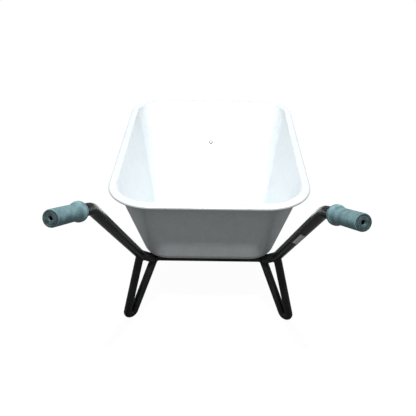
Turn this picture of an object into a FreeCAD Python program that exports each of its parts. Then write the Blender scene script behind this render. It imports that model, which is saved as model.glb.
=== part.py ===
import FreeCAD, Part
import math
import os

# Wheelbarrow: a deep-drawn tray on a bent-tube frame with two feet and one pneumatic wheel.
# Millimetres. +X is to the right of a person at the handles, +Y points to the wheel, +Z is up.
# The pieces are laid out with Y = 0 at the rear edge of the tray's rim and Z = 0 on the ground.
# At the end all of them move along Y, so that the origin is under the middle of the wheelbarrow.
# Paired pieces are made on the right-hand side and mirrored.

Vector = FreeCAD.Vector
X_AXIS = Vector(1, 0, 0)
Y_AXIS = Vector(0, 1, 0)
Z_AXIS = Vector(0, 0, 1)

# Tray
SHEET = 1.0
RIM_REAR_HEIGHT = 487.0
RIM_SLOPE_DEG = 5.7
RIM_LENGTH = 849.0
RIM_REAR_HALF_WIDTH = 297.0
RIM_FRONT_HALF_WIDTH = 314.0
RIM_REAR_CORNER = 139.0
RIM_FRONT_CORNER = 121.0
RIM_FLANGE = 24.0
RIM_ROLL = 6.0
RIM_ROLL_TURN_DEG = 250.0
FLOOR_REAR_Y = 135.0
FLOOR_LENGTH = 410.0
FLOOR_REAR_HALF_WIDTH = 202.0
FLOOR_FRONT_HALF_WIDTH = 208.0
FLOOR_REAR_CORNER = 80.0
FLOOR_FRONT_CORNER = 45.0
FLOOR_BEND = 40.0
DIMPLE_RADIUS = 14.0
DIMPLE_DEPTH = 2.5

# Main tube: grip, handle slope, short steep run inwards, level run under the tray, narrow run
RAIL_RADIUS = 15.0
RAIL_WALL = 1.5
GRIP_END = Vector(310.4, -378.4, 641.6)
HANDLE_BEND = Vector(268.3, -216.3, 585.7)
HANDLE_BEND_RADIUS = 70.0
ELBOW = Vector(217.4, 136.5, 252.0)
ELBOW_RADIUS = 60.0
RAIL_HALF_SPACING = 178.0
RAIL_HEIGHT = 215.0
KNEE_Y = 175.0
KNEE_RADIUS = 50.0
TAPER_START_Y = 530.0
TAPER_LENGTH = 150.0
TAPER_RADIUS = 80.0

# Grips
GRIP_RADIUS = 19.15
GRIP_LENGTH = 118.0
GRIP_END_WALL = 6.0
GRIP_END_ROUND = 3.0
GRIP_HOLE_RADIUS = 5.0
GRIP_FLANGE_RADIUS = 23.9
GRIP_FLANGE_WIDTH = 6.0
GRIP_CLEARANCE = 0.1

# Legs
LEG_RADIUS = 13.0
LEG_WALL = 1.5
LEG_FRONT_REACH = 7.0
FOOT_X = 262.0
FOOT_Y = 147.0
FOOT_BEND_RADIUS = 14.5
WELD_GAP = 0.05

# Cross brace between the front struts
BRACE_RADIUS = 11.0
BRACE_WALL = 1.5

# Wheel
TYRE_RADIUS = 190.0
TYRE_HALF_WIDTH = 48.0
TYRE_CROWN_THICKNESS = 8.0
TYRE_SIDE_THICKNESS = 5.0
TYRE_SHOULDER_DROP = 9.0
TYRE_BEAD_THICKNESS = 8.0
TREAD_HALF_WIDTH = 38.0
TREAD_DEPTH = 4.0
TREAD_SLOTS = 32
TREAD_SLOT_WIDTH = 9.0
TREAD_GROOVE_X = 13.0
TREAD_GROOVE_WIDTH = 5.0
TREAD_SLOT_DEEPER = 2.0
TREAD_STAGGER = 0.25
TUBE_THICKNESS = 2.0
TUBE_ABOVE_SEAT = 5.0
TYRE_GAP = 0.3
RIM_SHEET = 2.0
RIM_SEAT_RADIUS = 103.0
RIM_FLANGE_HEIGHT = 16.0
RIM_HALF_WIDTH = 40.0
RIM_WEB_INNER = 70.0
RIM_DISH = 20.0
RIM_DISH_RADIUS = 45.0
RIM_BOLT_RADIUS = 83.0
RIM_BOLTS = 4
HUB_RADIUS = 20.0
HUB_HALF_LENGTH = 40.0
BUSH_RADIUS = 13.0
BUSH_LENGTH = 24.0
BUSH_FLANGE_RADIUS = 18.0
BUSH_FLANGE = 3.0
AXLE_RADIUS = 6.0
AXLE_RUNNING_GAP = 0.05
AXLE_END_PLAY = 0.3
AXLE_NUT_ACROSS_FLATS = 19.0
AXLE_NUT_HEIGHT = 10.0
AXLE_THREAD_SHOWING = 5.0
AXLE_WASHER_RADIUS = 12.0
AXLE_WASHER = 2.5
SPACER_RADIUS = 10.0
SPACER_CLEARANCE = 0.1
VALVE_X = 16.0
VALVE_RADIUS = 4.0
VALVE_ABOVE_SEAT = 8.0
VALVE_IN_TUBE = 3.5
VALVE_REACH = 34.0
VALVE_CAP_RADIUS = 5.0
VALVE_CAP_LENGTH = 9.0
VALVE_CAP_END = 2.0

# Where the wheel hangs
WHEEL_TO_TRAY = 30.0
WHEEL_TO_HOOP = 20.0
WHEEL_TO_BRACKET = 19.0
AXLE_BELOW_RAIL = 42.0
BRACKET_SHEET = 4.0
BRACKET_LENGTH = 90.0
BRACKET_EYE_RADIUS = 19.0
BRACKET_BOLT_SPACING = 58.0

# Hoop in front of the wheel
HOOP_BEND_RADIUS = 58.0
RAIL_PAST_AXLE = 105.0
SPIGOT_LENGTH = 40.0
SPIGOT_CLEARANCE = 0.1
HOOP_SCREW_RADIUS = 2.4
HOOP_SCREW_HEAD = 4.6

# Stay from the rails over the wheel to the tray's front panel
STAY_RADIUS = 10.0
STAY_WALL = 1.5
STAY_FOOT_PAST_AXLE = 76.0
STAY_BEND_RADIUS = 34.0
STAY_PLATE = 3.0
STAY_PLATE_WIDTH = 60.0
STAY_PLATE_RISE = 56.0
STAY_UP_PANEL = 232.0
STAY_BOLT_UP_PANEL = 262.0

# M8 fasteners
BOLT_RADIUS = 4.0
BOLT_HOLE_RADIUS = BOLT_RADIUS + 0.25
BOLT_HEAD_RADIUS = 9.5
BOLT_HEAD_HEIGHT = 4.2
NUT_ACROSS_FLATS = 13.0
NUT_HEIGHT = 6.5
HEX_HEAD_HEIGHT = 5.3
WASHER_RADIUS = 8.5
WASHER = 1.6
BOLT_SHOWING = 3.0
TRAY_BOLT_FROM_KNEE = 60.0
TRAY_BOLT_BEFORE_TAPER = 80.0

# Blank label on the right handle slope
LABEL_THICKNESS = 0.25
LABEL_LENGTH = 85.0
LABEL_FROM_ELBOW = 234.0
LABEL_SPREAD_DEG = 54.0
LABEL_TURN_DEG = -20.0

# Places that follow from the sizes above
RIM_SLOPE = math.radians(RIM_SLOPE_DEG)
RIM_ALONG = Vector(0, math.cos(RIM_SLOPE), math.sin(RIM_SLOPE))
RIM_UP = Vector(0, -math.sin(RIM_SLOPE), math.cos(RIM_SLOPE))
RIM_TAPER = math.atan((RIM_FRONT_HALF_WIDTH - RIM_REAR_HALF_WIDTH) / RIM_LENGTH)
FLOOR_HEIGHT = RAIL_HEIGHT + RAIL_RADIUS + DIMPLE_DEPTH
FLOOR_FRONT = Vector(0, FLOOR_REAR_Y + FLOOR_LENGTH, FLOOR_HEIGHT)
WALL_INSET = RIM_FLANGE - SHEET
PANEL_TOP = Vector(0, 0, RIM_REAR_HEIGHT) + RIM_ALONG * (RIM_LENGTH - WALL_INSET) - RIM_UP * (SHEET / 2)
PANEL_UP = (PANEL_TOP - FLOOR_FRONT).normalize()
PANEL_OUT = Vector(0, PANEL_UP.z, -PANEL_UP.y)
AXLE_HEIGHT = TYRE_RADIUS
PANEL_TO_AXLE = TYRE_RADIUS + WHEEL_TO_TRAY
AXLE_UP_PANEL = (AXLE_HEIGHT - FLOOR_FRONT.z - PANEL_OUT.z * PANEL_TO_AXLE) / PANEL_UP.z
AXLE_CENTRE = FLOOR_FRONT + PANEL_UP * AXLE_UP_PANEL + PANEL_OUT * PANEL_TO_AXLE
BRACKET_X = TYRE_HALF_WIDTH + WHEEL_TO_BRACKET
NARROW_HALF_SPACING = BRACKET_X + RAIL_RADIUS
NARROW_HEIGHT = AXLE_HEIGHT + AXLE_BELOW_RAIL
RAIL_FRONT_Y = AXLE_CENTRE.y + RAIL_PAST_AXLE
HOOP_Y = AXLE_CENTRE.y + TYRE_RADIUS + WHEEL_TO_HOOP + RAIL_RADIUS
KNEE = Vector(RAIL_HALF_SPACING, KNEE_Y, RAIL_HEIGHT)
HANDLE_UP = (HANDLE_BEND - ELBOW).normalize()
GRIP_AXIS = (GRIP_END - HANDLE_BEND).normalize()
TRAY_BOLT_PLACES = [KNEE_Y + TRAY_BOLT_FROM_KNEE, TAPER_START_Y - TRAY_BOLT_BEFORE_TAPER]


def cylinder(radius, start, end):
    """Solid round bar between two points."""
    run = end - start
    return Part.makeCylinder(radius, run.Length, start, run)


def ring(outer, inner, start, end):
    """Round sleeve between two points."""
    return cylinder(outer, start, end).cut(cylinder(inner, start, end))


def hexagon(across_flats, start, end):
    """Hexagonal bar between two points."""
    run = end - start
    corner_radius = across_flats / math.sqrt(3)
    side = run.cross(Y_AXIS if abs(run.y) < 0.9 * run.Length else X_AXIS).normalize()
    turn = FreeCAD.Rotation(run, 60)
    corner = side * corner_radius
    corners = [start + corner]
    for _ in range(6):
        corner = turn.multVec(corner)
        corners.append(start + corner)
    return Part.Face(Part.makePolygon(corners)).extrude(run)


def mirrored(shape):
    """The same piece on the left-hand side."""
    return shape.mirror(Vector(0, 0, 0), X_AXIS)


def both_sides(shape):
    """A right-hand piece and its left-hand twin, as separate solids."""
    return [shape, mirrored(shape)]


def rounded_corner(before, corner, after, radius):
    """Start, middle and end of the arc that rounds a corner."""
    back = (before - corner).normalize()
    ahead = (after - corner).normalize()
    half = back.getAngle(ahead) / 2
    reach = radius / math.tan(half)
    depth = radius / math.sin(half) - radius
    return [corner + back * reach, corner + (back + ahead).normalize() * depth, corner + ahead * reach]


def closed_outline(corners, radii):
    """Closed wire with rounded corners, which starts in the middle of its first side."""
    count = len(corners)
    arcs = []
    for i in range(count):
        arcs.append(rounded_corner(corners[i - 1], corners[i], corners[(i + 1) % count], radii[i]))
    middle = (arcs[0][2] + arcs[1][0]) * 0.5
    edges = []
    here = middle
    for i in list(range(1, count)) + [0]:
        edges.append(Part.LineSegment(here, arcs[i][0]).toShape())
        edges.append(Part.Arc(*arcs[i]).toShape())
        here = arcs[i][2]
    edges.append(Part.LineSegment(here, middle).toShape())
    return Part.Wire(edges)


def bent_path(points, radii):
    """Open wire of straight runs joined by tangent arcs; radii are those of the inner points."""
    edges = []
    here = points[0]
    for i, radius in enumerate(radii, 1):
        arc = rounded_corner(points[i - 1], points[i], points[i + 1], radius)
        edges.append(Part.LineSegment(here, arc[0]).toShape())
        edges.append(Part.Arc(*arc).toShape())
        here = arc[2]
    edges.append(Part.LineSegment(here, points[-1]).toShape())
    return Part.Wire(edges)


def bar_along(path, radius):
    """Solid round bar swept along a path."""
    start = path.Edges[0].Vertexes[0].Point
    run = path.Edges[0].Vertexes[-1].Point - start
    section = Part.Wire(Part.makeCircle(radius, start, run))
    return path.makePipeShell([section], True, False)


def tube_along(path, radius, wall):
    """Round tube swept along a path, open at both ends."""
    return bar_along(path, radius).cut(bar_along(path, radius - wall))


def turned(profile):
    """Solid turned about the wheel's axis from corners given as (distance along X, radius)."""
    corners = [AXLE_CENTRE + Vector(x, 0, r) for x, r in profile]
    face = Part.Face(Part.makePolygon(corners + corners[:1]))
    return face.revolve(AXLE_CENTRE, X_AXIS, 360)


# Tray

def rim_point(x, along, below=0.0):
    """Point in the sloping plane of the rim, or below it."""
    return Vector(x, 0, RIM_REAR_HEIGHT) + RIM_ALONG * along - RIM_UP * below


def rim_outline(rear, side, front, below=0.0):
    """Outline parallel to the rim, brought in by a distance at its rear, its sides and its front."""
    corners = []
    for along, hand in [(rear, -1), (rear, 1), (RIM_LENGTH - front, 1), (RIM_LENGTH - front, -1)]:
        half = RIM_REAR_HALF_WIDTH + math.tan(RIM_TAPER) * along - side / math.cos(RIM_TAPER)
        corners.append(rim_point(hand * half, along, below))
    rear_corner = RIM_REAR_CORNER - side
    front_corner = RIM_FRONT_CORNER - side
    return closed_outline(corners, [rear_corner, rear_corner, front_corner, front_corner])


def floor_outline(rear, side, front, height):
    """Outline of the tray's floor before its edge is rounded, brought in in the same way."""
    rear_y = FLOOR_REAR_Y + rear
    front_y = FLOOR_REAR_Y + FLOOR_LENGTH - front
    rear_half = FLOOR_REAR_HALF_WIDTH - side
    front_half = FLOOR_FRONT_HALF_WIDTH - side
    corners = [Vector(-rear_half, rear_y, height), Vector(rear_half, rear_y, height),
               Vector(front_half, front_y, height), Vector(-front_half, front_y, height)]
    rear_corner = FLOOR_REAR_CORNER - side
    front_corner = FLOOR_FRONT_CORNER - side
    return closed_outline(corners, [rear_corner, rear_corner, front_corner, front_corner])


def wall_angles():
    """Angles of the rear, side and front walls up from the floor."""
    rise = RIM_REAR_HEIGHT - FLOOR_HEIGHT
    rear = math.atan2(rise, FLOOR_REAR_Y - WALL_INSET)
    side_rise = rise + RIM_LENGTH / 2 * math.sin(RIM_SLOPE)
    rim_half = (RIM_REAR_HALF_WIDTH + RIM_FRONT_HALF_WIDTH) / 2 - WALL_INSET
    side = math.atan2(side_rise, rim_half - (FLOOR_REAR_HALF_WIDTH + FLOOR_FRONT_HALF_WIDTH) / 2)
    return rear, side, math.atan2(PANEL_UP.z, PANEL_UP.y)


def tray_outside():
    """Filled form inside the outer faces of the bowl."""
    rim = rim_outline(WALL_INSET, WALL_INSET, WALL_INSET, SHEET / 2)
    return filled_form(floor_outline(0, 0, 0, FLOOR_HEIGHT), rim, FLOOR_HEIGHT, FLOOR_BEND)


def tray_inside():
    """Filled form of the bowl's hollow, one sheet in from the outer faces and past the rim."""
    rear, side, front = wall_angles()
    past = 2 * SHEET
    foot = [SHEET * math.tan(angle / 2) for angle in (rear, side, front)]
    to_rim = [rear + RIM_SLOPE, side, front - RIM_SLOPE]
    top = [WALL_INSET + SHEET / math.sin(angle) - (past + SHEET / 2) / math.tan(angle) for angle in to_rim]
    height = FLOOR_HEIGHT + SHEET
    return filled_form(floor_outline(*foot, height), rim_outline(*top, -past), height, FLOOR_BEND - SHEET)


def filled_form(foot, rim, height, bend):
    """Solid between a floor outline and a rim outline, with its lower edge rounded."""
    form = Part.makeLoft([foot, rim], True, True)
    edges = [edge for edge in form.Edges if abs(edge.BoundBox.ZMax - height) < 0.01]
    return form.makeFillet(bend, edges)


def rim_lip():
    """Flange round the bowl with its edge rolled down and under."""
    centre_out = WALL_INSET - RIM_ROLL
    end = math.radians(RIM_ROLL_TURN_DEG)

    def at(out, below):
        return rim_point(0, WALL_INSET - out, below)

    def on_roll(radius, turn):
        return at(centre_out + radius * math.sin(turn), RIM_ROLL - radius * math.cos(turn))

    inner = RIM_ROLL - SHEET
    section = Part.Wire([
        Part.LineSegment(at(-SHEET, 0), at(centre_out, 0)).toShape(),
        Part.Arc(on_roll(RIM_ROLL, 0), on_roll(RIM_ROLL, end / 2), on_roll(RIM_ROLL, end)).toShape(),
        Part.LineSegment(on_roll(RIM_ROLL, end), on_roll(inner, end)).toShape(),
        Part.Arc(on_roll(inner, end), on_roll(inner, end / 2), on_roll(inner, 0)).toShape(),
        Part.LineSegment(at(centre_out, SHEET), at(-SHEET, SHEET)).toShape(),
        Part.LineSegment(at(-SHEET, SHEET), at(-SHEET, 0)).toShape(),
    ])
    lip = rim_outline(WALL_INSET, WALL_INSET, WALL_INSET).makePipeShell([section], True, False)
    return lip.cut(tray_inside())


def tray():
    bowl = tray_outside().cut(tray_inside()).fuse(rim_lip())
    for side in (-1, 1):
        for y in TRAY_BOLT_PLACES:
            seat = Vector(side * RAIL_HALF_SPACING, y, FLOOR_HEIGHT - DIMPLE_DEPTH)
            floor = seat + Z_AXIS * SHEET
            bowl = bowl.fuse(cylinder(DIMPLE_RADIUS + SHEET, seat, floor + Z_AXIS * DIMPLE_DEPTH))
            bowl = bowl.cut(cylinder(DIMPLE_RADIUS, floor, floor + Z_AXIS * (2 * DIMPLE_DEPTH)))
            bowl = bowl.cut(cylinder(BOLT_HOLE_RADIUS, seat, floor))
    bolt = FLOOR_FRONT + PANEL_UP * STAY_BOLT_UP_PANEL
    return bowl.cut(cylinder(BOLT_HOLE_RADIUS, bolt + PANEL_OUT * SHEET, bolt - PANEL_OUT * (3 * SHEET)))


# Frame

def rail_path():
    grip_inner_end = GRIP_END - GRIP_AXIS * GRIP_END_WALL
    points = [grip_inner_end, HANDLE_BEND, ELBOW, KNEE,
              Vector(RAIL_HALF_SPACING, TAPER_START_Y, RAIL_HEIGHT),
              Vector(NARROW_HALF_SPACING, TAPER_START_Y + TAPER_LENGTH, NARROW_HEIGHT),
              Vector(NARROW_HALF_SPACING, RAIL_FRONT_Y, NARROW_HEIGHT)]
    return bent_path(points, [HANDLE_BEND_RADIUS, ELBOW_RADIUS, KNEE_RADIUS, TAPER_RADIUS, TAPER_RADIUS])


def bracket_bolt_places():
    """Points on the right rail's axis where the axle bracket is bolted."""
    places = []
    for side in (-0.5, 0.5):
        y = AXLE_CENTRE.y + side * BRACKET_BOLT_SPACING
        places.append(Vector(NARROW_HALF_SPACING, y, NARROW_HEIGHT))
    return places


def hoop_screw_place():
    """Point on the right rail's axis where the hoop's spigot is held."""
    return Vector(NARROW_HALF_SPACING, RAIL_FRONT_Y - SPIGOT_LENGTH / 2, NARROW_HEIGHT)


def right_rail():
    rail = tube_along(rail_path(), RAIL_RADIUS, RAIL_WALL)
    through = Z_AXIS * (2 * RAIL_RADIUS)
    places = [Vector(RAIL_HALF_SPACING, y, RAIL_HEIGHT) for y in TRAY_BOLT_PLACES]
    for place in places + bracket_bolt_places():
        rail = rail.cut(cylinder(BOLT_HOLE_RADIUS, place - through, place + through))
    screw = hoop_screw_place()
    return rail.cut(cylinder(HOOP_SCREW_RADIUS, screw, screw - through))


def front_hoop():
    corner = Vector(NARROW_HALF_SPACING, HOOP_Y, NARROW_HEIGHT)
    shoulder = Vector(NARROW_HALF_SPACING, RAIL_FRONT_Y, NARROW_HEIGHT)
    left_corner = Vector(-corner.x, corner.y, corner.z)
    left_shoulder = Vector(-shoulder.x, shoulder.y, shoulder.z)
    points = [shoulder, corner, left_corner, left_shoulder]
    hoop = bar_along(bent_path(points, [HOOP_BEND_RADIUS, HOOP_BEND_RADIUS]), RAIL_RADIUS)
    bore = bar_along(bent_path(points, [HOOP_BEND_RADIUS, HOOP_BEND_RADIUS]), RAIL_RADIUS - 2 * RAIL_WALL)
    spigot_radius = RAIL_RADIUS - RAIL_WALL - SPIGOT_CLEARANCE
    screw = hoop_screw_place()
    for place, hole in ((points[0], screw), (points[-1], Vector(-screw.x, screw.y, screw.z))):
        tip = place - Y_AXIS * SPIGOT_LENGTH
        hoop = hoop.fuse(cylinder(spigot_radius, tip, place))
        bore = bore.fuse(cylinder(RAIL_RADIUS - 2 * RAIL_WALL, tip, place))
        bore = bore.fuse(cylinder(HOOP_SCREW_RADIUS, hole, hole - Z_AXIS * (2 * RAIL_RADIUS)))
    return hoop.cut(bore)


def hoop_screws():
    place = hoop_screw_place()
    under = place - Z_AXIS * RAIL_RADIUS
    head = cylinder(HOOP_SCREW_HEAD, under - Z_AXIS * HOOP_SCREW_RADIUS, under + Z_AXIS * (RAIL_WALL / 2))
    head = head.cut(cylinder(RAIL_RADIUS, place - Y_AXIS * SPIGOT_LENGTH, place + Y_AXIS * SPIGOT_LENGTH))
    shank = cylinder(HOOP_SCREW_RADIUS, under - Z_AXIS * HOOP_SCREW_RADIUS, under + Z_AXIS * (3 * RAIL_WALL))
    return both_sides(head.fuse(shank))


def touching_points(outside, centre, radius, normal):
    """The two points where lines from an outside point touch a circle."""
    reach = outside - centre
    swing = math.acos(radius / reach.Length)
    direction = reach.normalize() * radius
    turns = [FreeCAD.Rotation(normal, math.degrees(turn)) for turn in (swing, -swing)]
    return [centre + turn.multVec(direction) for turn in turns]


def leg_path():
    """From the elbow of the rail down round the foot and up to the level run."""
    front = KNEE + Y_AXIS * LEG_FRONT_REACH
    lowest = Vector(FOOT_X, FOOT_Y, LEG_RADIUS)
    normal = (ELBOW - lowest).cross(front - lowest).normalize()
    up = (Z_AXIS - normal * normal.z).normalize()
    centre = lowest + up * FOOT_BEND_RADIUS
    rear_way = (ELBOW - centre).normalize()
    front_way = (front - centre).normalize()
    spread = rear_way - front_way
    bottom = centre - (rear_way + front_way).normalize() * FOOT_BEND_RADIUS

    def outward(point):
        return (point - centre).dot(spread)

    rear_touch = max(touching_points(ELBOW, centre, FOOT_BEND_RADIUS, normal), key=outward)
    front_touch = min(touching_points(front, centre, FOOT_BEND_RADIUS, normal), key=outward)
    return Part.Wire([
        Part.LineSegment(ELBOW, rear_touch).toShape(),
        Part.Arc(rear_touch, bottom, front_touch).toShape(),
        Part.LineSegment(front_touch, front).toShape(),
    ])


def right_leg():
    """V-shaped foot, coped to the rail at both ends."""
    return tube_along(leg_path(), LEG_RADIUS, LEG_WALL).cut(bar_along(rail_path(), RAIL_RADIUS + WELD_GAP))


def cross_brace():
    end = KNEE + Y_AXIS * LEG_FRONT_REACH
    far = Vector(-end.x, end.y, end.z)
    brace = ring(BRACE_RADIUS, BRACE_RADIUS - BRACE_WALL, far, end)
    for rail in both_sides(bar_along(rail_path(), RAIL_RADIUS + WELD_GAP)):
        brace = brace.cut(rail)
    for leg in both_sides(bar_along(leg_path(), LEG_RADIUS + WELD_GAP)):
        brace = brace.cut(leg)
    return max(brace.Solids, key=lambda solid: solid.Volume)


def stay_corner():
    """Where the stay's right leg meets its top run."""
    offset = STAY_PLATE + STAY_RADIUS
    point = FLOOR_FRONT + PANEL_UP * STAY_UP_PANEL + PANEL_OUT * offset
    return Vector(NARROW_HALF_SPACING, point.y, point.z)


def front_stay():
    """Tube over the wheel with a plate that the tray's front panel is bolted to."""
    corner = stay_corner()
    foot = Vector(NARROW_HALF_SPACING, AXLE_CENTRE.y + STAY_FOOT_PAST_AXLE, NARROW_HEIGHT)
    points = [foot, corner, Vector(-corner.x, corner.y, corner.z), Vector(-foot.x, foot.y, foot.z)]
    path = bent_path(points, [STAY_BEND_RADIUS, STAY_BEND_RADIUS])
    outer = bar_along(path, STAY_RADIUS)
    low = FLOOR_FRONT + PANEL_UP * STAY_UP_PANEL - X_AXIS * (STAY_PLATE_WIDTH / 2)
    plate = Part.Face(Part.makePolygon([
        low - PANEL_UP * STAY_RADIUS,
        low - PANEL_UP * STAY_RADIUS + X_AXIS * STAY_PLATE_WIDTH,
        low + PANEL_UP * (STAY_PLATE_RISE - STAY_RADIUS) + X_AXIS * STAY_PLATE_WIDTH,
        low + PANEL_UP * (STAY_PLATE_RISE - STAY_RADIUS),
        low - PANEL_UP * STAY_RADIUS,
    ])).extrude(PANEL_OUT * (STAY_PLATE + STAY_WALL / 2))
    stay = outer.fuse(plate).cut(bar_along(path, STAY_RADIUS - STAY_WALL))
    bolt = FLOOR_FRONT + PANEL_UP * STAY_BOLT_UP_PANEL
    stay = stay.cut(cylinder(BOLT_HOLE_RADIUS, bolt - PANEL_OUT, bolt + PANEL_OUT * (3 * STAY_PLATE)))
    for rail in both_sides(bar_along(rail_path(), RAIL_RADIUS + WELD_GAP)):
        stay = stay.cut(rail)
    return max(stay.Solids, key=lambda solid: solid.Volume)


def right_axle_bracket():
    """Angle bracket under the rail: a flange that is bolted up and a web with the axle's eye."""
    top = NARROW_HEIGHT - RAIL_RADIUS
    half = BRACKET_LENGTH / 2
    flange = Part.makeBox(2 * RAIL_RADIUS, BRACKET_LENGTH, BRACKET_SHEET,
                          Vector(BRACKET_X, AXLE_CENTRE.y - half, top - BRACKET_SHEET))
    centre = Vector(BRACKET_X, AXLE_CENTRE.y, AXLE_HEIGHT)
    slope = math.atan2(top - AXLE_HEIGHT, half)
    reach = math.hypot(top - AXLE_HEIGHT, half)
    turn = math.asin(BRACKET_EYE_RADIUS / reach) + slope
    touch_y = BRACKET_EYE_RADIUS * math.sin(turn)
    touch_z = BRACKET_EYE_RADIUS * math.cos(turn)
    corners = [Vector(BRACKET_X, AXLE_CENTRE.y - half, top),
               Vector(BRACKET_X, centre.y - touch_y, centre.z - touch_z),
               Vector(BRACKET_X, centre.y + touch_y, centre.z - touch_z),
               Vector(BRACKET_X, AXLE_CENTRE.y + half, top)]
    web = Part.Face(Part.makePolygon(corners + corners[:1])).extrude(X_AXIS * BRACKET_SHEET)
    web = web.fuse(cylinder(BRACKET_EYE_RADIUS, centre, centre + X_AXIS * BRACKET_SHEET))
    bracket = flange.fuse(web)
    eye = X_AXIS * (2 * BRACKET_SHEET)
    bracket = bracket.cut(cylinder(AXLE_RADIUS + SPACER_CLEARANCE, centre - eye, centre + eye))
    for place in bracket_bolt_places():
        bracket = bracket.cut(cylinder(BOLT_HOLE_RADIUS, place, place - Z_AXIS * (2 * RAIL_RADIUS)))
    return bracket.removeSplitter()


# Fasteners

def cup_bolt(head_seat, down, length):
    """Round-headed bolt; the head sits on a point and the shank goes down from it."""
    dome_radius = (BOLT_HEAD_RADIUS ** 2 + BOLT_HEAD_HEIGHT ** 2) / (2 * BOLT_HEAD_HEIGHT)
    centre = head_seat - down * (BOLT_HEAD_HEIGHT - dome_radius)
    head = Part.makeSphere(dome_radius, centre)
    head = head.common(cylinder(BOLT_HEAD_RADIUS, head_seat, head_seat - down * (2 * BOLT_HEAD_HEIGHT)))
    return head.fuse(cylinder(BOLT_RADIUS, head_seat, head_seat + down * length))


def nut(seat, away):
    """M8 nut that stands on a point."""
    return hexagon(NUT_ACROSS_FLATS, seat, seat + away * NUT_HEIGHT).cut(
        cylinder(BOLT_RADIUS, seat - away, seat + away * (2 * NUT_HEIGHT)))


def washer(seat, away):
    return ring(WASHER_RADIUS, BOLT_HOLE_RADIUS, seat, seat + away * WASHER)


def tray_bolt_seats():
    """Points in the tray's dimples where the bolt heads sit, on the right-hand side."""
    height = FLOOR_HEIGHT - DIMPLE_DEPTH + SHEET
    return [Vector(RAIL_HALF_SPACING, y, height) for y in TRAY_BOLT_PLACES]


def tray_bolts():
    length = SHEET + 2 * RAIL_RADIUS + WASHER + NUT_HEIGHT + BOLT_SHOWING
    bolts = []
    for seat in tray_bolt_seats():
        bolts += both_sides(cup_bolt(seat, -Z_AXIS, length))
    return bolts


def tray_washers():
    washers = []
    for seat in tray_bolt_seats():
        washers += both_sides(washer(Vector(seat.x, seat.y, RAIL_HEIGHT - RAIL_RADIUS), -Z_AXIS))
    return washers


def tray_nuts():
    nuts = []
    for seat in tray_bolt_seats():
        nuts += both_sides(nut(Vector(seat.x, seat.y, RAIL_HEIGHT - RAIL_RADIUS - WASHER), -Z_AXIS))
    return nuts


def stay_bolt():
    seat = FLOOR_FRONT + PANEL_UP * STAY_BOLT_UP_PANEL - PANEL_OUT * SHEET
    return cup_bolt(seat, PANEL_OUT, SHEET + STAY_PLATE + WASHER + NUT_HEIGHT + BOLT_SHOWING)


def stay_washer():
    seat = FLOOR_FRONT + PANEL_UP * STAY_BOLT_UP_PANEL + PANEL_OUT * (STAY_PLATE + STAY_WALL / 2)
    return washer(seat, PANEL_OUT)


def stay_nut():
    seat = FLOOR_FRONT + PANEL_UP * STAY_BOLT_UP_PANEL + PANEL_OUT * (STAY_PLATE + STAY_WALL / 2 + WASHER)
    return nut(seat, PANEL_OUT)


def bracket_bolts():
    bolts = []
    for place in bracket_bolt_places():
        seat = place + Z_AXIS * RAIL_RADIUS
        end = place - Z_AXIS * (RAIL_RADIUS + BRACKET_SHEET + NUT_HEIGHT + BOLT_SHOWING)
        head = hexagon(NUT_ACROSS_FLATS, seat, seat + Z_AXIS * HEX_HEAD_HEIGHT)
        bolts += both_sides(head.fuse(cylinder(BOLT_RADIUS, end, seat)))
    return bolts


def bracket_nuts():
    nuts = []
    for place in bracket_bolt_places():
        nuts += both_sides(nut(place - Z_AXIS * (RAIL_RADIUS + BRACKET_SHEET), -Z_AXIS))
    return nuts


# Handles

def right_grip():
    """Moulded sleeve with a closed end, a hanging hole in the end and a flange for the hand."""
    def at(distance):
        return GRIP_END - GRIP_AXIS * distance

    barrel = cylinder(GRIP_RADIUS, at(GRIP_LENGTH), GRIP_END)
    end_edges = [edge for edge in barrel.Edges if (edge.CenterOfMass - GRIP_END).Length < 1]
    barrel = barrel.makeFillet(GRIP_END_ROUND, end_edges)
    flange = cylinder(GRIP_FLANGE_RADIUS, at(GRIP_LENGTH), at(GRIP_LENGTH - GRIP_FLANGE_WIDTH))
    flange = flange.makeFillet(GRIP_FLANGE_WIDTH / 3, [edge for edge in flange.Edges if edge.Closed])
    grip = barrel.fuse(flange)
    grip = grip.cut(cylinder(RAIL_RADIUS + GRIP_CLEARANCE, at(GRIP_LENGTH + 1), at(GRIP_END_WALL)))
    return grip.cut(cylinder(GRIP_HOLE_RADIUS, at(GRIP_LENGTH), at(-1)))


def handle_label():
    """Thin blank label wrapped part of the way round the right handle slope."""
    start = ELBOW + HANDLE_UP * LABEL_FROM_ELBOW
    end = start + HANDLE_UP * LABEL_LENGTH
    sleeve = ring(RAIL_RADIUS + WELD_GAP + LABEL_THICKNESS, RAIL_RADIUS + WELD_GAP, start, end)
    down = (HANDLE_UP * HANDLE_UP.z - Z_AXIS).normalize()
    middle = FreeCAD.Rotation(HANDLE_UP, LABEL_TURN_DEG).multVec(down)
    wedge_reach = 2 * RAIL_RADIUS
    corners = [start]
    for turn in (-0.5, 0.0, 0.5):
        swing = FreeCAD.Rotation(HANDLE_UP, turn * LABEL_SPREAD_DEG)
        corners.append(start + swing.multVec(middle) * wedge_reach)
    wedge = Part.Face(Part.makePolygon(corners + corners[:1])).extrude(end - start)
    return sleeve.common(wedge)


# Wheel

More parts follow.
